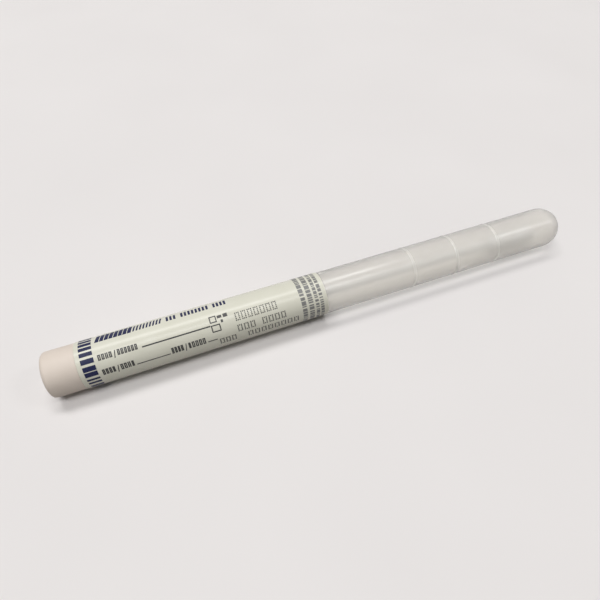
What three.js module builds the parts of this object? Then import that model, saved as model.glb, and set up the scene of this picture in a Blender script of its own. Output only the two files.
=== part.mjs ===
// Specimen swab tube: a round-bottomed transport tube with a wrap label, closed by a plug cap
// that carries the swab's shaft and fibre bud. Millimetres, +Z up. The tube lies on its side
// along X, with the cap at -X and the round end at +X.

import * as THREE from 'three';

// ---- Driving dimensions -------------------------------------------------------------------

// Transport tube. Its length runs from the rim at the mouth to the round tip.
const TUBE_LENGTH = 150;
const TUBE_OUTER_DIAMETER = 12.4;
const TUBE_WALL = 0.9;
const RIM_CHAMFER = 0.2;

// Raised rings round the clear half of the tube, counted back from the one nearest the round tip.
const RING_COUNT = 3;
const LAST_RING_FROM_TIP = 25.7;
const RING_PITCH = 14.4;
const RING_WIDTH = 1.2;
const RING_CREST = 0.4;
const RING_HEIGHT = 0.12;

// Wrap label: one strip of film, wound once round the tube and lapped over its own start. The
// seam angle is that of the film's start, in degrees from the top of the tube towards -Y.
const LABEL_FROM_RIM = 0.2;
const LABEL_LENGTH = 67.3;
const LABEL_FILM = 0.1;
const LABEL_LAP = 2.5;
const LABEL_CLEARANCE = 0.02;
const LABEL_SEAM_ANGLE = 217;

// Cap: a round head outside the tube, and a hollow plug inside its mouth. The overhang is how far
// the head's side stands out past the tube's wall.
const HEAD_LENGTH = 8.6;
const HEAD_OVERHANG = 0;
const HEAD_EDGE_RADIUS = 1.1;
const HEAD_END_WALL = 1.4;
const HEAD_SEAT_GAP = 0.05;
const PLUG_LENGTH = 9;
const PLUG_WALL = 1;
const PLUG_CLEARANCE = 0.05;
const PLUG_CHAMFER = 0.5;
const SEAL_COUNT = 2;
const SEAL_PITCH = 3;
const SEAL_WIDTH = 1;
const SEAL_HEIGHT = 0.15;

// Socket in the middle of the cap that grips the shaft.
const SOCKET_WALL = 1;
const SOCKET_SET_BACK = 1.5;

// Swab.
const SHAFT_DIAMETER = 2.4;
const SHAFT_CHAMFER = 0.25;
const SHAFT_CLEARANCE = 0.05;
const SHAFT_END_GAP = 0.3;
const SHAFT_DROOP = 1.2;
const SHAFT_DIVISIONS = 14;
const BUD_DIAMETER = 5;
const BUD_LENGTH = 17;
const BUD_TAPER_LENGTH = 5;
const BUD_COLLAR_THICKNESS = 0.4;
const BUD_TIP_THICKNESS = 2.5;
const BUD_TIP_FROM_FLOOR = 6.5;

// Round surfaces have SEGMENTS flats, which touch the true circle.
const SEGMENTS = 24;
const ARC_STEPS = 8;
const FACET = (2 * Math.PI) / SEGMENTS;
const CORNER_SCALE = 1 / Math.cos(FACET / 2);

// ---- Sizes that follow --------------------------------------------------------------------

const TUBE_RADIUS = TUBE_OUTER_DIAMETER / 2;
const BORE_RADIUS = TUBE_RADIUS - TUBE_WALL;
const DOME_CENTRE = TUBE_LENGTH - TUBE_RADIUS;
const LABEL_INNER_RADIUS = TUBE_RADIUS + LABEL_CLEARANCE;
const HEAD_RADIUS = TUBE_RADIUS + HEAD_OVERHANG;
const SHAFT_RADIUS = SHAFT_DIAMETER / 2;
const SOCKET_RADIUS = SHAFT_RADIUS + SHAFT_CLEARANCE;
const SOCKET_FLOOR = HEAD_END_WALL - HEAD_LENGTH;
const SOCKET_MOUTH = PLUG_LENGTH - SOCKET_SET_BACK;
const BUD_TIP = TUBE_LENGTH - TUBE_WALL - BUD_TIP_FROM_FLOOR;
const SHAFT_START = SOCKET_FLOOR + SHAFT_END_GAP;
const SHAFT_TIP = BUD_TIP - BUD_TIP_THICKNESS;
const REST_HEIGHT = Math.max(LABEL_INNER_RADIUS + LABEL_FILM, TUBE_RADIUS + RING_HEIGHT, HEAD_RADIUS);

const COLOURS = {
  transport_tube: { color: 0xd3d6d8, roughness: 0.45, metalness: 0 },
  wrap_label: { color: 0xf3f3f4, roughness: 0.3, metalness: 0 },
  cap: { color: 0xe6e1d8, roughness: 0.55, metalness: 0 },
  swab_shaft: { color: 0xeeeeec, roughness: 0.4, metalness: 0 },
  swab_bud: { color: 0xf6f6f4, roughness: 0.95, metalness: 0 },
};

// ---- Geometry helpers ---------------------------------------------------------------------

// Turns an outline of [radius, distance along the axis] pairs about +Y. The outline runs towards
// +Y on its outer side, and one flat of the result faces -Z.
function turned(outline) {
  const points = outline.map(([radius, along]) => new THREE.Vector2(radius * CORNER_SCALE, along));
  return new THREE.LatheGeometry(points, SEGMENTS, FACET / 2);
}

// Points on an arc in an outline, from one angle to the other in degrees, where 0 points away
// from the axis and 90 points along it.
function arc(centreRadius, centreAlong, radius, from, to, steps) {
  const points = [];
  for (let i = 0; i <= steps; i += 1) {
    const angle = THREE.MathUtils.degToRad(THREE.MathUtils.lerp(from, to, i / steps));
    points.push([centreRadius + radius * Math.cos(angle), centreAlong + radius * Math.sin(angle)]);
  }
  return points;
}

// A quarter arc that meets the axis exactly at one of its ends.
function domeArc(centreAlong, radius, from, to) {
  return arc(0, centreAlong, radius, from, to, ARC_STEPS).map(([r, along]) => [r < 1e-9 ? 0 : r, along]);
}

// A raised ring of flat crest and sloping sides on a round wall.
function ringOutline(wallRadius, centreAlong, width, crest, height) {
  return [
    [wallRadius, centreAlong - width / 2],
    [wallRadius + height, centreAlong - crest / 2],
    [wallRadius + height, centreAlong + crest / 2],
    [wallRadius, centreAlong + width / 2],
  ];
}

// Lowers a solid that lies along +Y as a long light shaft droops from the socket that holds it.
function droop(geometry) {
  const place = geometry.attributes.position;
  for (let i = 0; i < place.count; i += 1) {
    const reach = Math.max(0, place.getY(i) - SOCKET_MOUTH) / (BUD_TIP - SOCKET_MOUTH);
    place.setZ(i, place.getZ(i) - SHAFT_DROOP * reach ** 2);
  }
  geometry.computeVertexNormals();
  return geometry;
}

// ---- Pieces, each along +Y with the tube's rim at 0 -----------------------------------------

function transportTube() {
  const rings = [];
  for (let i = 0; i < RING_COUNT; i += 1) {
    const centre = TUBE_LENGTH - LAST_RING_FROM_TIP - (RING_COUNT - 1 - i) * RING_PITCH;
    rings.push(...ringOutline(TUBE_RADIUS, centre, RING_WIDTH, RING_CREST, RING_HEIGHT));
  }
  return turned([
    ...domeArc(DOME_CENTRE, BORE_RADIUS, 90, 0),
    [BORE_RADIUS, RIM_CHAMFER],
    [BORE_RADIUS + RIM_CHAMFER, 0],
    [TUBE_RADIUS - RIM_CHAMFER, 0],
    [TUBE_RADIUS, RIM_CHAMFER],
    ...rings,
    ...domeArc(DOME_CENTRE, TUBE_RADIUS, 0, 90),
  ]);
}

// A point of the label's section. It lies on the flats of a polygon like the tube's own.
function labelPoint(radius, angle) {
  const offFlat = angle - FACET * Math.round(angle / FACET);
  const reach = radius / Math.cos(offFlat);
  return new THREE.Vector2(reach * Math.sin(angle), -reach * Math.cos(angle));
}

// The film's section: a full turn on the tube, a step up, and the lap over the film's start.
function wrapLabel() {
  const start = FACET * (Math.round(THREE.MathUtils.degToRad(LABEL_SEAM_ANGLE) / FACET - 0.5) + 0.5);
  const lappedRadius = LABEL_INNER_RADIUS + LABEL_FILM + LABEL_CLEARANCE;
  const lapEnd = start + 2 * Math.PI + LABEL_LAP / lappedRadius;
  const stations = [];
  for (let i = 0; i < SEGMENTS; i += 1) stations.push([LABEL_INNER_RADIUS, start + i * FACET]);
  for (let angle = start + 2 * Math.PI; angle < lapEnd; angle += FACET) stations.push([lappedRadius, angle]);
  stations.push([lappedRadius, lapEnd]);

  const inner = stations.map(([radius, angle]) => labelPoint(radius, angle));
  const outer = stations.map(([radius, angle]) => labelPoint(radius + LABEL_FILM, angle));
  const section = new THREE.Shape([...inner, ...outer.reverse()]);
  const film = new THREE.ExtrudeGeometry(section, { depth: LABEL_LENGTH, bevelEnabled: false });
  film.rotateX(-Math.PI / 2);
  film.translate(0, LABEL_FROM_RIM, 0);
  return film;
}

// The plug's outside, from the head's shoulder to the chamfer at its free end.
function plugOutline(sealRadius) {
  const wallRadius = sealRadius - SEAL_HEIGHT;
  const seals = [];
  for (let i = 0; i < SEAL_COUNT; i += 1) {
    const centre = PLUG_LENGTH - PLUG_CHAMFER - SEAL_WIDTH - (SEAL_COUNT - 1 - i) * SEAL_PITCH;
    seals.push(...ringOutline(wallRadius, centre, SEAL_WIDTH, SEAL_WIDTH / 3, SEAL_HEIGHT));
  }
  return [
    [wallRadius, -HEAD_SEAT_GAP],
    ...seals,
    [wallRadius, PLUG_LENGTH - PLUG_CHAMFER],
    [wallRadius - PLUG_CHAMFER, PLUG_LENGTH],
  ];
}

function cap() {
  const sealRadius = BORE_RADIUS - PLUG_CLEARANCE;
  const cavityRadius = sealRadius - SEAL_HEIGHT - PLUG_WALL;
  const edgeCentre = HEAD_RADIUS - HEAD_EDGE_RADIUS;
  return turned([
    [0, -HEAD_LENGTH],
    ...arc(edgeCentre, HEAD_EDGE_RADIUS - HEAD_LENGTH, HEAD_EDGE_RADIUS, -90, 0, ARC_STEPS / 2),
    [HEAD_RADIUS, -HEAD_SEAT_GAP],
    ...plugOutline(sealRadius),
    [cavityRadius, PLUG_LENGTH],
    [cavityRadius, SOCKET_FLOOR],
    [SOCKET_RADIUS + SOCKET_WALL, SOCKET_FLOOR],
    [SOCKET_RADIUS + SOCKET_WALL, SOCKET_MOUTH],
    [SOCKET_RADIUS, SOCKET_MOUTH],
    [SOCKET_RADIUS, SOCKET_FLOOR],
    [0, SOCKET_FLOOR],
  ]);
}

function swabShaft() {
  const sideStart = SHAFT_START + SHAFT_CHAMFER;
  const sideEnd = SHAFT_TIP - SHAFT_CHAMFER;
  const side = [];
  for (let i = 0; i <= SHAFT_DIVISIONS; i += 1) {
    side.push([SHAFT_RADIUS, THREE.MathUtils.lerp(sideStart, sideEnd, i / SHAFT_DIVISIONS)]);
  }
  return droop(turned([
    [0, SHAFT_START],
    [SHAFT_RADIUS - SHAFT_CHAMFER, SHAFT_START],
    ...side,
    [SHAFT_RADIUS - SHAFT_CHAMFER, SHAFT_TIP],
    [0, SHAFT_TIP],
  ]));
}

// Wound fibre: a collar on the shaft, a taper, a straight body and a round tip, over a blind bore.
function swabBud() {
  const budRadius = BUD_DIAMETER / 2;
  const boreRadius = SHAFT_RADIUS + SHAFT_CLEARANCE;
  const collarRadius = boreRadius + BUD_COLLAR_THICKNESS;
  const start = BUD_TIP - BUD_LENGTH;
  const taper = [];
  for (let i = 0; i <= ARC_STEPS; i += 1) {
    const swell = (1 - Math.cos((Math.PI * i) / ARC_STEPS)) / 2;
    const radius = THREE.MathUtils.lerp(collarRadius, budRadius, swell);
    taper.push([radius, start + (BUD_TAPER_LENGTH * i) / ARC_STEPS]);
  }
  return droop(turned([
    [0, SHAFT_TIP + SHAFT_END_GAP],
    [boreRadius, SHAFT_TIP + SHAFT_END_GAP],
    [boreRadius, start],
    ...taper,
    ...domeArc(BUD_TIP - budRadius, budRadius, 0, 90),
  ]));
}

// ---- Assembly -----------------------------------------------------------------------------

function piece(name, geometry) {
  const mesh = new THREE.Mesh(geometry, new THREE.MeshStandardMaterial(COLOURS[name]));
  mesh.name = name;
  return mesh;
}

const assembly = new THREE.Group();
assembly.add(
  piece('transport_tube', transportTube()),
  piece('wrap_label', wrapLabel()),
  piece('cap', cap()),
  piece('swab_shaft', swabShaft()),
  piece('swab_bud', swabBud()),
);

// Lay the tube along X, centred between its ends, with its lowest flats at Z = 0.
assembly.rotation.z = -Math.PI / 2;
assembly.position.set(-(TUBE_LENGTH - HEAD_LENGTH) / 2, 0, REST_HEIGHT);

const specimenSwabTube = new THREE.Group();
specimenSwabTube.add(assembly);

export default specimenSwabTube;
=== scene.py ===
"""Looks of the specimen swab tube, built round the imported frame.

Metres, +Z up. The tube lies along X on the floor, with its cap at -X and its round end at +X.
Angles round the tube are in degrees from its top, positive towards -Y, the side the camera is on.
"""

import math
import random

import bmesh
import bpy
from mathutils import Matrix, Vector, noise


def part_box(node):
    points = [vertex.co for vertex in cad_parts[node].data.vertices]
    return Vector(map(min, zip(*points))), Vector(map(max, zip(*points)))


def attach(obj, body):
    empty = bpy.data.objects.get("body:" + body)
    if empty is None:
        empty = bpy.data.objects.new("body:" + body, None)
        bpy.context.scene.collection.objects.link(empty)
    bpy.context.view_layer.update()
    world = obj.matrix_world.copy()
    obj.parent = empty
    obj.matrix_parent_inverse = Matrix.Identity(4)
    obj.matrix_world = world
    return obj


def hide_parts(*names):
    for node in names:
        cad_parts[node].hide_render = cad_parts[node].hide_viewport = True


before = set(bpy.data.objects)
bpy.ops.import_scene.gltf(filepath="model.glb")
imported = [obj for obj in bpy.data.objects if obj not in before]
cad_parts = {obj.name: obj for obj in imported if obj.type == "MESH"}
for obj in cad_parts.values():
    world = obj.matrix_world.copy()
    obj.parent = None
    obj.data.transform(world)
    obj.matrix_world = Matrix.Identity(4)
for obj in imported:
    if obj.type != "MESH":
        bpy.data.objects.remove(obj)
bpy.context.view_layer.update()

MM = 0.001

# ---- Sizes, read from the frame where it has them -------------------------------------------

TUBE_LOW, TUBE_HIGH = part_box("transport_tube")
LABEL_LOW, LABEL_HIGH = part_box("wrap_label")
CAP_LOW, CAP_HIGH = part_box("cap")
SHAFT_LOW, SHAFT_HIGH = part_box("swab_shaft")
BUD_LOW, BUD_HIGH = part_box("swab_bud")

# The gap left between pieces that fit together.
FIT = 0.05 * MM

# The cap's head is as wide as the tube. The tube's own box is as wide as its rings.
AXIS_Z = (CAP_LOW.z + CAP_HIGH.z) / 2
TUBE_R = (CAP_HIGH.z - CAP_LOW.z) / 2
TUBE_WALL = 0.9 * MM
BORE_R = TUBE_R - TUBE_WALL

# The rings count back from the round tip.
RING_CREST_R = (TUBE_HIGH.z - TUBE_LOW.z) / 2
RING_WIDTH = 1.2 * MM
RING_PITCH = 14.4 * MM
TIP_TO_RING = 25.7 * MM
RING_XS = [TUBE_HIGH.x - (TIP_TO_RING + RING_PITCH * k) for k in (2, 1, 0)]

LABEL_R = (LABEL_HIGH.z - LABEL_LOW.z) / 2
FILM = 0.1 * MM

# The head sits on the tube's rim, and the socket ends a little inside the plug's mouth.
HEAD_SEAT_X = TUBE_LOW.x - FIT
SOCKET_SET_BACK = 1.5 * MM
SOCKET_MOUTH_X = CAP_HIGH.x - SOCKET_SET_BACK

# The shaft leaves the socket straight, and hangs this much lower at the bud's tip.
SHAFT_R = 1.2 * MM
DROOP = 1.2 * MM

# ---- How much light passes ------------------------------------------------------------------

# The swab is lit through the milky wall, so its own shadow inside the tube is soft and faint.
SHAFT_LETS_THROUGH = 0.85
BUD_LETS_THROUGH = 0.94

# The clear wall scatters these shares of light, on and back.
MILK_ON = 0.12
MILK_BACK = 0.12

# What a face lets through, from square on to edge on. Light that meets the wall beside the bore
# is turned away inside it, so the tube's shadow has two dark lines along it.
SQUARE_ON = (0.985, 0.985, 0.975)
OUTSIDE_LETS_THROUGH = [(0.0, SQUARE_ON), (0.4, 0.97), (0.5, 0.45), (1.0, 0.35)]
INSIDE_LETS_THROUGH = [(0.0, SQUARE_ON), (0.7, 0.93), (1.0, 0.4)]


# ---- Mesh helpers ---------------------------------------------------------------------------

# A lathe point nearer the axis than this lies on it.
ON_AXIS = 1e-7


def arc(centre_x, centre_r, radius, start, end, steps):
    """(x, radius) points on an arc. At 0 degrees it points along +X, at 90 away from the axis."""
    points = []
    for i in range(steps + 1):
        a = math.radians(start + (end - start) * i / steps)
        points.append((centre_x + radius * math.cos(a), centre_r + radius * math.sin(a)))
    return points


def bead(centre_x, wall_r, crest_r, width, steps=12):
    """(x, radius) points on a smooth raised ring on a wall."""
    points = []
    for i in range(steps + 1):
        t = 2 * i / steps - 1
        rise = (1 + math.cos(math.pi * t)) / 2
        points.append((centre_x + t * width / 2, wall_r + (crest_r - wall_r) * rise))
    return points


def on_tube(x, radius, angle):
    """The point at an angle round the tube's axis."""
    a = math.radians(angle)
    return Vector((x, -radius * math.sin(a), AXIS_Z + radius * math.cos(a)))


def lathe(outline, sides):
    """A closed body turned about the tube's axis, from (x, radius) points whose ends lie on it."""
    bm = bmesh.new()
    rows = []
    for x, r in outline:
        if r < ON_AXIS:
            rows.append([bm.verts.new((x, 0, AXIS_Z))])
        else:
            rows.append([bm.verts.new(on_tube(x, r, 360 * k / sides)) for k in range(sides)])
    for one, two in zip(rows, rows[1:]):
        for k in range(sides):
            n = (k + 1) % sides
            corners = [one[k % len(one)], two[k % len(two)], two[n % len(two)], one[n % len(one)]]
            bm.faces.new(list(dict.fromkeys(corners)))
    return bm


def loft(bm, sections):
    """Adds a closed bar that runs through four-cornered sections."""
    rows = [[bm.verts.new(corner) for corner in section] for section in sections]
    for one, two in zip(rows, rows[1:]):
        for k in range(4):
            n = (k + 1) % 4
            bm.faces.new((one[k], two[k], two[n], one[n]))
    bm.faces.new(rows[0])
    bm.faces.new(rows[-1])


def droop(bm):
    """Lowers a body along the swab as the shaft droops from the cap's socket."""
    for v in bm.verts:
        reach = max(0.0, v.co.x - SOCKET_MOUTH_X) / (BUD_HIGH.x - SOCKET_MOUTH_X)
        v.co.z -= DROOP * reach ** 2


def finish_mesh(bm, name, material, sharp=35):
    """Turns a bmesh into a smooth-shaded object whose edges over the sharp angle stay crisp."""
    bmesh.ops.recalc_face_normals(bm, faces=bm.faces)
    mesh = bpy.data.meshes.new(name)
    bm.to_mesh(mesh)
    bm.free()
    mesh.shade_smooth()
    mesh.set_sharp_from_angle(angle=math.radians(sharp))
    mesh.materials.append(material)
    piece = bpy.data.objects.new(name, mesh)
    bpy.context.scene.collection.objects.link(piece)
    return piece


# ---- Material helpers -----------------------------------------------------------------------

# A noise mostly keeps between these values.
NOISE_LOW = 0.3
NOISE_HIGH = 0.7


class Nodes:
    """A node material under construction."""

    def __init__(self, name):
        self.material = bpy.data.materials.new(name)
        self.material.use_nodes = True
        self.tree = self.material.node_tree
        self.tree.nodes.clear()
        self.out = self.add("ShaderNodeOutputMaterial")
        self.place = self.add("ShaderNodeTexCoord").outputs["Object"]

    def add(self, kind, **values):
        node = self.tree.nodes.new(kind)
        for key, value in values.items():
            setattr(node, key, value)
        return node

    def link(self, source, target):
        self.tree.links.new(source, target)

    def noise(self, size, along=1.0, detail=3.0, rough=0.5):
        """Noise with cells about size across. An along under 1 draws them out along the tube."""
        mapping = self.add("ShaderNodeMapping")
        self.link(self.place, mapping.inputs["Vector"])
        mapping.inputs["Scale"].default_value = (along, 1, 1)
        node = self.add("ShaderNodeTexNoise")
        self.link(mapping.outputs["Vector"], node.inputs["Vector"])
        node.inputs["Scale"].default_value = 1 / size
        node.inputs["Detail"].default_value = detail
        node.inputs["Roughness"].default_value = rough
        return node.outputs["Fac"]

    def ramp(self, fac, stops):
        """A colour ramp over (position, colour) stops. A bare number is a grey."""
        node = self.add("ShaderNodeValToRGB")
        self.link(fac, node.inputs["Fac"])
        elements = node.color_ramp.elements
        while len(elements) < len(stops):
            elements.new(0.5)
        for element, (position, colour) in zip(elements, stops):
            element.position = position
            rgb = colour if isinstance(colour, tuple) else (colour,) * 3
            element.color = (*rgb, 1)
        return node.outputs["Color"]

    def vary(self, noise_fac, low, high):
        """A colour or grey that goes from low to high with a noise."""
        return self.ramp(noise_fac, [(NOISE_LOW, low), (NOISE_HIGH, high)])

    def times(self, first, second):
        """The product of two colours."""
        node = self.add("ShaderNodeVectorMath", operation="MULTIPLY")
        self.link(first, node.inputs[0])
        self.link(second, node.inputs[1])
        return node.outputs["Vector"]

    def bump(self, height, strength, distance, normal=None):
        """A bump over the plain surface, or over another bump's normal."""
        node = self.add("ShaderNodeBump")
        self.link(height, node.inputs["Height"])
        node.inputs["Strength"].default_value = strength
        node.inputs["Distance"].default_value = distance
        if normal is not None:
            self.link(normal, node.inputs["Normal"])
        return node.outputs["Normal"]

    def shader(self, colour, roughness, normal, **plain):
        """A Principled shader. What is plain is set on its own sockets."""
        node = self.add("ShaderNodeBsdfPrincipled")
        self.link(colour, node.inputs["Base Color"])
        self.link(roughness, node.inputs["Roughness"])
        if normal is not None:
            self.link(normal, node.inputs["Normal"])
        for key, value in plain.items():
            node.inputs[key.replace("_", " ")].default_value = value
        return node.outputs["BSDF"]

    def scatter(self, kind, colour):
        """A Diffuse shader, which throws light back, or a Translucent one, which throws it on."""
        node = self.add("ShaderNodeBsdf" + kind)
        self.link(colour, node.inputs["Color"])
        return node.outputs["BSDF"]

    def mix(self, share, first, second):
        """The first shader with a share of the second, which is a number or a socket."""
        node = self.add("ShaderNodeMixShader")
        if isinstance(share, float):
            node.inputs["Fac"].default_value = share
        else:
            self.link(share, node.inputs["Fac"])
        self.link(first, node.inputs[1])
        self.link(second, node.inputs[2])
        return node.outputs["Shader"]

    def lit_through(self, seen, passed):
        """The shader, which lets part of the lamps' light and of bounced light straight through."""
        through = self.add("ShaderNodeBsdfTransparent")
        if isinstance(passed, float):
            through.inputs["Color"].default_value = (passed, passed, passed, 1)
        else:
            self.link(passed, through.inputs["Color"])
        path = self.add("ShaderNodeLightPath")
        for ray in ("Is Diffuse Ray", "Is Shadow Ray"):
            seen = self.mix(path.outputs[ray], seen, through.outputs["BSDF"])
        return seen

    def show(self, shader):
        """Sends the shader to the surface, and returns the finished material."""
        self.link(shader, self.out.inputs["Surface"])
        return self.material


def seen_rays(tree):
    """1 on the rays that show the background: the camera's, and those by glass and gloss."""
    path = tree.nodes.new("ShaderNodeLightPath")
    seen = path.outputs["Is Camera Ray"]
    for ray in ("Is Glossy Ray", "Is Transmission Ray"):
        either = tree.nodes.new("ShaderNodeMath")
        either.operation = "MAXIMUM"
        tree.links.new(seen, either.inputs[0])
        tree.links.new(path.outputs[ray], either.inputs[1])
        seen = either.outputs["Value"]
    return seen


# ---- Materials ------------------------------------------------------------------------------

def frosted_plastic(name, smooth, matte, clear, lets_through):
    """Milky translucent moulded plastic. Lamps and bounced light pass straight through it."""
    m = Nodes(name)
    cloud = m.noise(4 * MM)
    flow = m.noise(0.7 * MM, along=0.08)
    grain = m.noise(0.25 * MM, detail=2.0)
    tone = m.vary(cloud, (0.96, 0.94, 0.90), (0.985, 0.967, 0.93))
    # The wall is deeper, and so less clear, where it is seen edge on.
    slant = m.add("ShaderNodeLayerWeight").outputs["Facing"]
    colour = m.times(tone, m.ramp(slant, [(0.5, 1.0), (1.0, 0.85)]))
    roughness = m.vary(flow, smooth, matte)
    normal = m.bump(grain, 0.06, 0.008 * MM, m.bump(flow, 0.08, 0.012 * MM))
    glass = m.shader(
        colour, roughness, normal, IOR=1.49, Transmission_Weight=clear, Specular_IOR_Level=0.3)
    milky = m.mix(MILK_ON, glass, m.scatter("Translucent", tone))
    seen = m.mix(MILK_BACK, milky, m.scatter("Diffuse", tone))
    # Edge on, painted shade: a dim grey matte layer darkens the glass's outline, where it would
    # mirror the floor.
    painted_edge_shade = m.scatter("Diffuse", m.vary(cloud, 0.38, 0.42))
    seen = m.mix(m.ramp(slant, [(0.6, 0.0), (0.95, 0.42)]), seen, painted_edge_shade)
    return m.show(m.lit_through(seen, m.ramp(slant, lets_through)))


def moulded_plastic(name, low, high, roughness, grain_size):
    """Matte moulded plastic with faint clouding and a fine grain: its nodes, colour and shader."""
    m = Nodes(name)
    cloud = m.noise(3.5 * MM)
    grain = m.noise(grain_size, detail=4.0, rough=0.6)
    colour = m.vary(cloud, low, high)
    rough = m.vary(grain, roughness - 0.05, roughness + 0.05)
    normal = m.bump(grain, 0.35, 0.02 * MM, m.bump(cloud, 0.2, 0.08 * MM))
    return m, colour, m.shader(colour, rough, normal, IOR=1.5, Specular_IOR_Level=0.3)


def cap_plastic():
    """Solid warm white plastic."""
    m, _, seen = moulded_plastic(
        "warm_white_cap", (0.74, 0.65, 0.57), (0.765, 0.675, 0.595), 0.5, 0.18 * MM)
    return m.show(seen)


def shaft_plastic():
    """Thin white plastic that glows a little with the light behind it."""
    m, colour, seen = moulded_plastic(
        "white_shaft", (0.80, 0.80, 0.785), (0.83, 0.83, 0.815), 0.38, 0.12 * MM)
    glowing = m.mix(0.4, seen, m.scatter("Translucent", colour))
    return m.show(m.lit_through(glowing, SHAFT_LETS_THROUGH))


def label_film():
    """White gloss film with a faint paper tooth and long shallow waves."""
    m = Nodes("white_label_film")
    tone = m.noise(6 * MM)
    wave = m.noise(2.5 * MM, along=0.12, detail=1.0)
    tooth = m.noise(0.12 * MM, detail=2.0)
    colour = m.vary(tone, (0.72, 0.707, 0.60), (0.75, 0.737, 0.635))
    rough = m.vary(tooth, 0.22, 0.3)
    normal = m.bump(tooth, 0.15, 0.004 * MM, m.bump(wave, 0.4, 0.03 * MM))
    return m.show(m.shader(colour, rough, normal, IOR=1.5, Specular_IOR_Level=0.26))


def ink(name, dark, light, rough, shine=0.5):
    """Printed ink, thinner in places."""
    m = Nodes(name)
    wear = m.noise(0.35 * MM, detail=4.0, rough=0.65)
    colour = m.ramp(wear, [(0.45, dark), (0.8, light)])
    gloss = m.vary(wear, rough - 0.05, rough + 0.08)
    normal = m.bump(wear, 0.1, 0.003 * MM)
    return m.show(m.shader(colour, gloss, normal, IOR=1.5, Specular_IOR_Level=shine))


def wound_fibre():
    """Soft white fibre, wound round and round, with painted shade between the strands."""
    m = Nodes("wound_white_fibre")
    strand = m.noise(0.4 * MM, along=4.5, detail=5.0, rough=0.7)
    tuft = m.noise(1.2 * MM)
    tint = m.vary(tuft, (0.955, 0.95, 0.935), (0.985, 0.98, 0.97))
    # Painted shade: the colour darkens in the bump's hollows between the strands.
    colour = m.times(tint, m.ramp(strand, [(0.35, 0.88), (0.55, 1.0)]))
    rough = m.vary(strand, 0.85, 1.0)
    normal = m.bump(strand, 0.8, 0.14 * MM, m.bump(tuft, 0.4, 0.2 * MM))
    seen = m.shader(colour, rough, normal, Sheen_Weight=0.3, Sheen_Roughness=0.5)
    glowing = m.mix(0.22, seen, m.scatter("Translucent", colour))
    return m.show(m.lit_through(glowing, BUD_LETS_THROUGH))


def plain_floor():
    """A plain pale surface, slightly uneven in tone. It throws less light back than it shows."""
    m = Nodes("pale_floor")
    tone = m.noise(60 * MM, detail=2.0)
    rough = m.vary(tone, 0.82, 0.88)
    unseen = m.vary(tone, (0.40, 0.385, 0.375), (0.42, 0.405, 0.395))
    seen = m.vary(tone, (0.80, 0.771, 0.759), (0.82, 0.791, 0.779))
    return m.show(m.mix(
        seen_rays(m.tree),
        m.shader(unseen, rough, None, Specular_IOR_Level=0.2),
        m.shader(seen, rough, None, Specular_IOR_Level=0.2)))


# ---- Camera, light and floor ----------------------------------------------------------------

# Where the camera stands and which way it looks. Its lens and sensor are in mm.
CAMERA_PLACE = (-0.03865, -0.0770, 0.1163)
CAMERA_LOOK = (0.2116, 0.5600, -0.8018)
LENS = 28.42
SENSOR = 36
NEAREST_SEEN = 0.005

# The lamps hang side by side, with their long sides turned some 21 degrees from the tube.
LAMPS_ALONG = Vector((0.935, -0.353, 0))
LAMPS_ACROSS = Vector((0.353, 0.935, 0))
LAMP_HEIGHT = 3.0
# Name, metres across and along from the tube's middle, watts, and the lamp's length and width.
LAMPS = (
    ("lamp_behind", 0.93, -0.48, 50, 2.28, 0.6),
    ("lamp_before", -0.78, -0.21, 47, 2.82, 0.65),
    ("lamp_right", 0.05, 3.1, 15, 1.0, 0.32),
)

FILL_STRENGTH = 0.09
BACKDROP_COLOUR = (0.81, 0.781, 0.769, 1)

FLOOR_RADIUS = 0.6
FLOOR_SIDES = 128


def set_camera():
    camera = bpy.data.objects.new("camera", bpy.data.cameras.new("camera"))
    bpy.context.scene.collection.objects.link(camera)
    camera.location = CAMERA_PLACE
    camera.rotation_euler = Vector(CAMERA_LOOK).to_track_quat("-Z", "Y").to_euler()
    camera.data.sensor_width = SENSOR
    camera.data.lens = LENS
    camera.data.clip_start = NEAREST_SEEN
    bpy.context.scene.camera = camera


def set_lamps():
    """Two long soft overhead lamps, and a smaller one that glints on the round end."""
    up = Vector((0, 0, LAMP_HEIGHT))
    for name, across, along, power, length, width in LAMPS:
        lamp = bpy.data.objects.new(name, bpy.data.lights.new(name, "AREA"))
        bpy.context.scene.collection.objects.link(lamp)
        lamp.data.shape = "RECTANGLE"
        lamp.data.size = length
        lamp.data.size_y = width
        lamp.data.energy = power
        lamp.location = LAMPS_ALONG * along + LAMPS_ACROSS * across + up
        # Each lamp is tipped about its length to face the tube.
        back = (LAMPS_ACROSS * across + up).normalized()
        facing = Matrix((LAMPS_ALONG, back.cross(LAMPS_ALONG), back)).transposed()
        lamp.rotation_euler = facing.to_euler()


def set_world():
    """A dim white fill, with the pale backdrop on the rays that show the background."""
    world = bpy.data.worlds.new("studio")
    bpy.context.scene.world = world
    world.use_nodes = True
    tree = world.node_tree
    tree.nodes.clear()
    fill = tree.nodes.new("ShaderNodeBackground")
    fill.inputs["Color"].default_value = (1, 1, 1, 1)
    fill.inputs["Strength"].default_value = FILL_STRENGTH
    backdrop = tree.nodes.new("ShaderNodeBackground")
    backdrop.inputs["Color"].default_value = BACKDROP_COLOUR
    mix = tree.nodes.new("ShaderNodeMixShader")
    tree.links.new(seen_rays(tree), mix.inputs["Fac"])
    tree.links.new(fill.outputs[0], mix.inputs[1])
    tree.links.new(backdrop.outputs[0], mix.inputs[2])
    out = tree.nodes.new("ShaderNodeOutputWorld")
    tree.links.new(mix.outputs[0], out.inputs["Surface"])


def set_floor():
    """A round floor, as pale as the backdrop beyond its edge."""
    bm = bmesh.new()
    rim = []
    for k in range(FLOOR_SIDES):
        a = math.tau * k / FLOOR_SIDES
        rim.append(bm.verts.new((FLOOR_RADIUS * math.cos(a), FLOOR_RADIUS * math.sin(a), 0)))
    bm.faces.new(rim)
    finish_mesh(bm, "floor", plain_floor())


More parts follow.
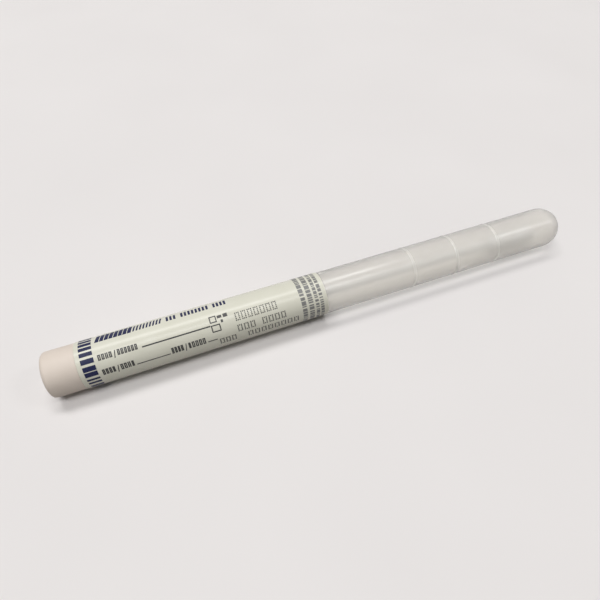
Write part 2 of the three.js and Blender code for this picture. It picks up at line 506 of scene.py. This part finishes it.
set_camera()
set_lamps()
set_world()
set_floor()
bpy.context.scene.view_settings.view_transform = "Standard"


# ---- Tube and label -------------------------------------------------------------------------

# The tube and the cap have this many sides.
ROUND_SIDES = 144


def dress(piece, body, slot, *nodes):
    """Ties a finished piece to its body and hides the solids that it stands for. The slot is not
    used.
    """
    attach(piece, body)
    if nodes:
        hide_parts(*nodes)


def build_tube():
    """One moulding: a straight wall, three raised rings and a round closed end."""
    rim = TUBE_LOW.x
    dome = TUBE_HIGH.x - TUBE_R
    chamfer = 0.2 * MM
    outline = arc(dome, 0, BORE_R, 0, 90, steps=24)
    outline += [(rim + chamfer, BORE_R)]
    outline += arc(rim + chamfer, BORE_R + chamfer, chamfer, -90, -180, steps=3)[1:]
    outline += arc(rim + chamfer, TUBE_R - chamfer, chamfer, 180, 90, steps=3)
    for x in RING_XS:
        outline += bead(x, TUBE_R, RING_CREST_R, RING_WIDTH)
    outline += arc(dome, 0, TUBE_R, 90, 0, steps=24)
    tube = finish_mesh(
        lathe(outline, ROUND_SIDES), "transport_tube_clear",
        frosted_plastic("clear_tube_outside", 0.2, 0.26, 0.93, OUTSIDE_LETS_THROUGH))
    tube.data.materials.append(
        frosted_plastic("clear_tube_inside", 0.3, 0.36, 0.93, INSIDE_LETS_THROUGH))
    tube.data.materials.append(
        frosted_plastic("clear_tube_rings", 0.2, 0.26, 0.7, OUTSIDE_LETS_THROUGH))
    outside, inside, ring = range(3)
    # The rings' milkier plastic covers their crests, not their feet.
    crest = RING_WIDTH / 3
    for face in tube.data.polygons:
        middle = face.center
        reach = math.hypot(middle.y, middle.z - AXIS_Z)
        if middle.x > dome:
            reach = math.hypot(middle.x - dome, reach)
        if reach < (BORE_R + TUBE_R) / 2:
            face.material_index = inside
        elif any(abs(middle.x - x) < crest for x in RING_XS):
            face.material_index = ring
        else:
            face.material_index = outside
    dress(tube, "tube", "tube_plastic", "transport_tube")


def build_label():
    """One strip of film, wound once round the tube and lapped over its own start."""
    # In degrees: where it starts, how far it laps, over how much it climbs, and each step.
    start = 217.5
    lap = 22.7
    climb = 6.0
    step = 2.5
    inner = LABEL_R - FILM
    lap_gap = 0.02 * MM
    lift = FILM + lap_gap
    turn = 360 + lap
    count = round(turn / step)
    sections = []
    for i in range(count + 1):
        along = turn * i / count
        t = min(1.0, max(0.0, (along - 360 + climb) / climb))
        low = inner + lift * t * t * (3 - 2 * t)
        high = low + FILM
        sections.append([
            on_tube(x, r, start + along)
            for x, r in ((TUBE_LOW.x, low), (LABEL_HIGH.x, low),
                         (LABEL_HIGH.x, high), (TUBE_LOW.x, high))
        ])
    bm = bmesh.new()
    loft(bm, sections)
    dress(finish_mesh(bm, "wrap_label_film", label_film()), "tube", "label_film", "wrap_label")


# ---- Print ----------------------------------------------------------------------------------

class Print:
    """Ink laid on the label as thin closed patches. Lengths are in mm, x from the tube's rim."""

    # The ink's underside, sunk in the film, and its face.
    LOW_R = LABEL_R - 0.01 * MM
    HIGH_R = LABEL_R + 0.012 * MM
    # A bar round the tube has a section at least every so many degrees.
    STEP = 4
    DOT_SIDES = 8
    # How wide a glyph is for its pitch. Of the glyphs, just over half are boxes, a quarter are
    # pairs of bars and the rest are single bars.
    GLYPH_SHARE = 0.78
    BOXES_BELOW = 0.55
    PAIRS_BELOW = 0.8

    def __init__(self):
        self.bm = bmesh.new()

    def block(self, x0, x1, a0, a1, slant=0.0):
        """A bar from x0 to x1 and angle a0 to a1. Slant moves its a1 end along x."""
        steps = max(1, math.ceil(abs(a1 - a0) / self.STEP))
        sections = []
        for i in range(steps + 1):
            t = i / steps
            angle = a0 + (a1 - a0) * t
            left, right = ((TUBE_LOW.x + (x + slant * t) * MM) for x in (x0, x1))
            sections.append([
                on_tube(x, r, angle)
                for x, r in ((left, self.LOW_R), (right, self.LOW_R),
                             (right, self.HIGH_R), (left, self.HIGH_R))
            ])
        loft(self.bm, sections)

    def bars(self, count, x0, pitch, width, a0, a1, slant=0.0, gaps=()):
        """A row of equal bars, less those in gaps."""
        for k in range(count):
            if k not in gaps:
                left = x0 + pitch * k
                self.block(left, left + width, a0, a1, slant)

    def frame(self, x0, x1, a0, a1, stroke):
        """An empty box outline."""
        turn = math.degrees(stroke * MM / LABEL_R)
        self.block(x0, x1, a0, a0 + turn)
        self.block(x0, x1, a1 - turn, a1)
        self.block(x0, x0 + stroke, a0 + turn, a1 - turn)
        self.block(x1 - stroke, x1, a0 + turn, a1 - turn)

    def dot(self, x, angle, radius):
        """A small round spot."""
        low, high = [], []
        for k in range(self.DOT_SIDES):
            a = math.tau * k / self.DOT_SIDES
            px = TUBE_LOW.x + (x + radius * math.cos(a)) * MM
            pa = angle + math.degrees(radius * MM * math.sin(a) / LABEL_R)
            low.append(self.bm.verts.new(on_tube(px, self.LOW_R, pa)))
            high.append(self.bm.verts.new(on_tube(px, self.HIGH_R, pa)))
        self.bm.faces.new(low)
        self.bm.faces.new(high)
        for k in range(self.DOT_SIDES):
            n = (k + 1) % self.DOT_SIDES
            self.bm.faces.new((low[k], low[n], high[n], high[k]))

    def dotted_box(self, x0, x1, a0, a1, radius):
        """A box outline of spots, three wide and five high."""
        for i in range(3):
            for j in range(5):
                if i != 1 or j in (0, 4):
                    self.dot(x0 + (x1 - x0) * i / 2, a0 + (a1 - a0) * j / 4, radius)

    def glyph_row(self, x0, x1, a0, a1, pitch, stroke, dice):
        """A row of small boxes and bars, which stands for a line of text."""
        count = round((x1 - x0) / pitch)
        pitch = (x1 - x0) / count
        for k in range(count):
            left = x0 + k * pitch
            right = left + pitch * self.GLYPH_SHARE
            kind = dice.random()
            if kind < self.BOXES_BELOW:
                self.frame(left, right, a0, a1, stroke)
            elif kind < self.PAIRS_BELOW:
                self.block(left, left + stroke, a0, a1)
                self.block(right - stroke, right, a0, a1)
            else:
                middle = (left + right) / 2
                self.block(middle - stroke, middle + stroke, a0, a1)

    def finish(self, name, material):
        dress(finish_mesh(self.bm, name, material), "tube", "label_film")


def print_navy():
    """Broad bars round the tube beside the cap, and three rows of bars along its top."""
    navy = Print()
    left, right = 1.15, 4.4
    for a0, a1 in (
        (-98, -90), (-82, -64), (-56, -49), (-42, -34), (-30, -22), (-19, -10), (-6, 3), (8, 18),
        (24, 36), (42, 54), (56, 68), (74, 80), (85, 92), (100, 112), (120, 126), (134, 152),
    ):
        navy.block(left, right, a0, a1)
    navy.bars(8, 5.25, 1.18, 1.0, -11, -37, slant=0.6)
    navy.bars(9, 14.9, 0.86, 0.46, -12, -34, slant=0.5)
    navy.bars(17, 23.8, 0.98, 0.6, -13, -32, gaps=(3, 12))
    navy_ink = ink("navy_ink", (0.012, 0.016, 0.06), (0.03, 0.036, 0.1), 0.4, shine=0.2)
    navy.finish("label_print_navy", navy_ink)


def print_black(dice):
    """Three ruled fields with captions, and stamped rows with a few small boxes beside them."""
    black = Print()
    # Each caption is two rows of glyphs with a slanted stroke between them.
    for left, middle, right, a0, a1 in (
        (5.4, 9.1, 15.5, 22.5, 36.5), (5.4, 8.8, 13.6, 58.5, 74), (23.1, 26.4, 32.4, 57.5, 74),
    ):
        pitch, stroke = 0.9, 0.31
        black.glyph_row(left, middle, a0, a1, pitch, stroke, dice)
        black.block(middle + 0.55, middle + 0.8, a0, a1 + 4, slant=-0.35)
        black.glyph_row(middle + 1.15, right, a0, a1, pitch, stroke, dice)
    # The rules.
    for x0, x1, a0, a1 in (
        (16.4, 34.4, 32.8, 36.2), (13.9, 22.6, 71.0, 73.6), (32.7, 35.3, 70.2, 72.8),
    ):
        black.block(x0, x1, a0, a1)
    # The small boxes, empty and full.
    for x0, x1, a0, a1 in ((34.5, 36.4, 12, 29), (34.5, 37.0, 34, 52)):
        black.frame(x0, x1, a0, a1, stroke=0.3)
    for x0, x1, a0, a1 in ((36.7, 37.9, 14, 21), (38.3, 39.5, 13, 22), (37.4, 38.0, 26, 33)):
        black.block(x0, x1, a0, a1)
    # The stamped rows of dotted boxes.
    for x0, count, pitch, a0, a1 in (
        (41.5, 7, 1.74, 21, 39), (41.4, 3, 1.8, 52, 67), (48.4, 4, 1.8, 52, 67),
        (43.9, 8, 1.9, 78, 92), (36.0, 3, 1.65, 75, 90),
    ):
        width, spot = pitch * 0.55, 0.19
        for k in range(count):
            left = x0 + k * pitch
            black.dotted_box(left, left + width, a0, a1, spot)
    black_ink = ink("black_ink", (0.02, 0.02, 0.02), (0.07, 0.07, 0.065), 0.45)
    black.finish("label_print_black", black_ink)


def print_small(dice):
    """Four close lines of very small print round the tube, as broken rules."""
    first, last = -112.0, 200
    small = Print()
    for x0, x1 in ((59.9, 61.2), (61.9, 63.3), (63.9, 64.9), (65.3, 66.3)):
        angle = first
        while angle < last:
            length = dice.choice((3, 4, 6, 8, 11))
            small.block(x0, x1, angle, angle + length)
            angle += length + dice.choice((1.6, 2.2, 4.0))
    grey_ink = ink("grey_ink", (0.18, 0.18, 0.175), (0.3, 0.3, 0.29), 0.45)
    small.finish("label_print_small", grey_ink)


def build_print():
    dice = random.Random(7)
    print_navy()
    print_black(dice)
    print_small(dice)


# ---- Cap and swab ---------------------------------------------------------------------------

def build_cap():
    """One moulding: a round head, a hollow plug with two seals, and the shaft's socket."""
    end, seat, plug_end = CAP_LOW.x, HEAD_SEAT_X, CAP_HIGH.x
    edge = 1.1 * MM
    seat_edge = 0.06 * MM
    wall = 1.0 * MM
    seal_r = BORE_R - FIT
    seal_width, seal_height = 1.0 * MM, 0.15 * MM
    plug_r = seal_r - seal_height
    hollow_r = plug_r - wall
    floor_x = end + 1.4 * MM
    lip = 0.5 * MM
    socket_in = SHAFT_R + FIT
    socket_out = socket_in + wall
    outline = [(end, 0)]
    outline += arc(end + edge, TUBE_R - edge, edge, 180, 90, steps=10)
    outline += arc(seat - seat_edge, TUBE_R - seat_edge, seat_edge, 90, 0, steps=4)
    outline += [(seat, plug_r)]
    for back in (4.5, 1.5):
        outline += bead(plug_end - back * MM, plug_r, seal_r, seal_width, steps=8)
    outline += [(plug_end - lip, plug_r), (plug_end, plug_r - lip), (plug_end, hollow_r)]
    outline += [(floor_x, hollow_r), (floor_x, socket_out), (SOCKET_MOUTH_X, socket_out)]
    outline += [(SOCKET_MOUTH_X, socket_in), (floor_x, socket_in), (floor_x, 0)]
    cap = finish_mesh(lathe(outline, ROUND_SIDES), "cap_body", cap_plastic())
    dress(cap, "swab", "cap_plastic", "cap")


def build_shaft():
    """A plain rod, cut into short lengths so that it droops smoothly."""
    low, high = SHAFT_LOW.x, SHAFT_HIGH.x
    chamfer = 0.25 * MM
    start, end = low + chamfer, high - chamfer
    steps = 60
    outline = [(low, 0), (low, SHAFT_R - chamfer)]
    outline += [(start + (end - start) * i / steps, SHAFT_R) for i in range(steps + 1)]
    outline += [(high, SHAFT_R - chamfer), (high, 0)]
    bm = lathe(outline, sides=48)
    droop(bm)
    shaft = finish_mesh(bm, "swab_shaft_rod", shaft_plastic())
    dress(shaft, "swab", "shaft_plastic", "swab_shaft")


def build_bud():
    """Fibre wound on the shaft's end: a swelling start, a straight body and a round tip."""
    start, tip = BUD_LOW.x, BUD_HIGH.x
    bore = SHAFT_R + FIT
    bore_end = SHAFT_HIGH.x + 0.3 * MM
    collar = SHAFT_R + 0.45 * MM
    body = 2.42 * MM
    swell_end = start + 5 * MM
    dome = tip - body
    swell_steps, body_steps = 24, 50
    outline = [(bore_end, 0), (bore_end, bore), (start, bore)]
    for i in range(swell_steps + 1):
        t = i / swell_steps
        rise = (1 - math.cos(math.pi * t)) / 2
        outline.append((start + (swell_end - start) * t, collar + (body - collar) * rise))
    for i in range(1, body_steps):
        outline.append((swell_end + (dome - swell_end) * i / body_steps, body))
    outline += arc(dome, 0, body, 90, 0, steps=20)
    bm = lathe(outline, sides=96)

    # Outside the bore, the surface rises and falls with the winding and with loose tufts.
    near_bore = bore + 0.1 * MM
    winding_pitch, winding_height = 0.55 * MM, 0.03 * MM
    tufts_per_metre, tuft_height = 900, 0.09 * MM
    for v in bm.verts:
        from_axis = Vector((0, v.co.y, v.co.z - AXIS_Z))
        if from_axis.length < near_bore and v.co.x < dome:
            continue
        angle = math.atan2(v.co.y, v.co.z - AXIS_Z)
        winding = math.sin(math.tau * (v.co.x / winding_pitch) + 3 * angle)
        tuft = noise.noise(v.co * tufts_per_metre)
        out = Vector((max(0.0, v.co.x - dome), from_axis.y, from_axis.z))
        if out.length > 0:
            v.co += out.normalized() * (winding_height * winding + tuft_height * tuft)
    droop(bm)
    bud = finish_mesh(bm, "swab_bud_fibre", wound_fibre(), sharp=180)
    dress(bud, "swab", "bud_fibre", "swab_bud")


build_tube()
build_label()
build_print()
build_cap()
build_shaft()
build_bud()
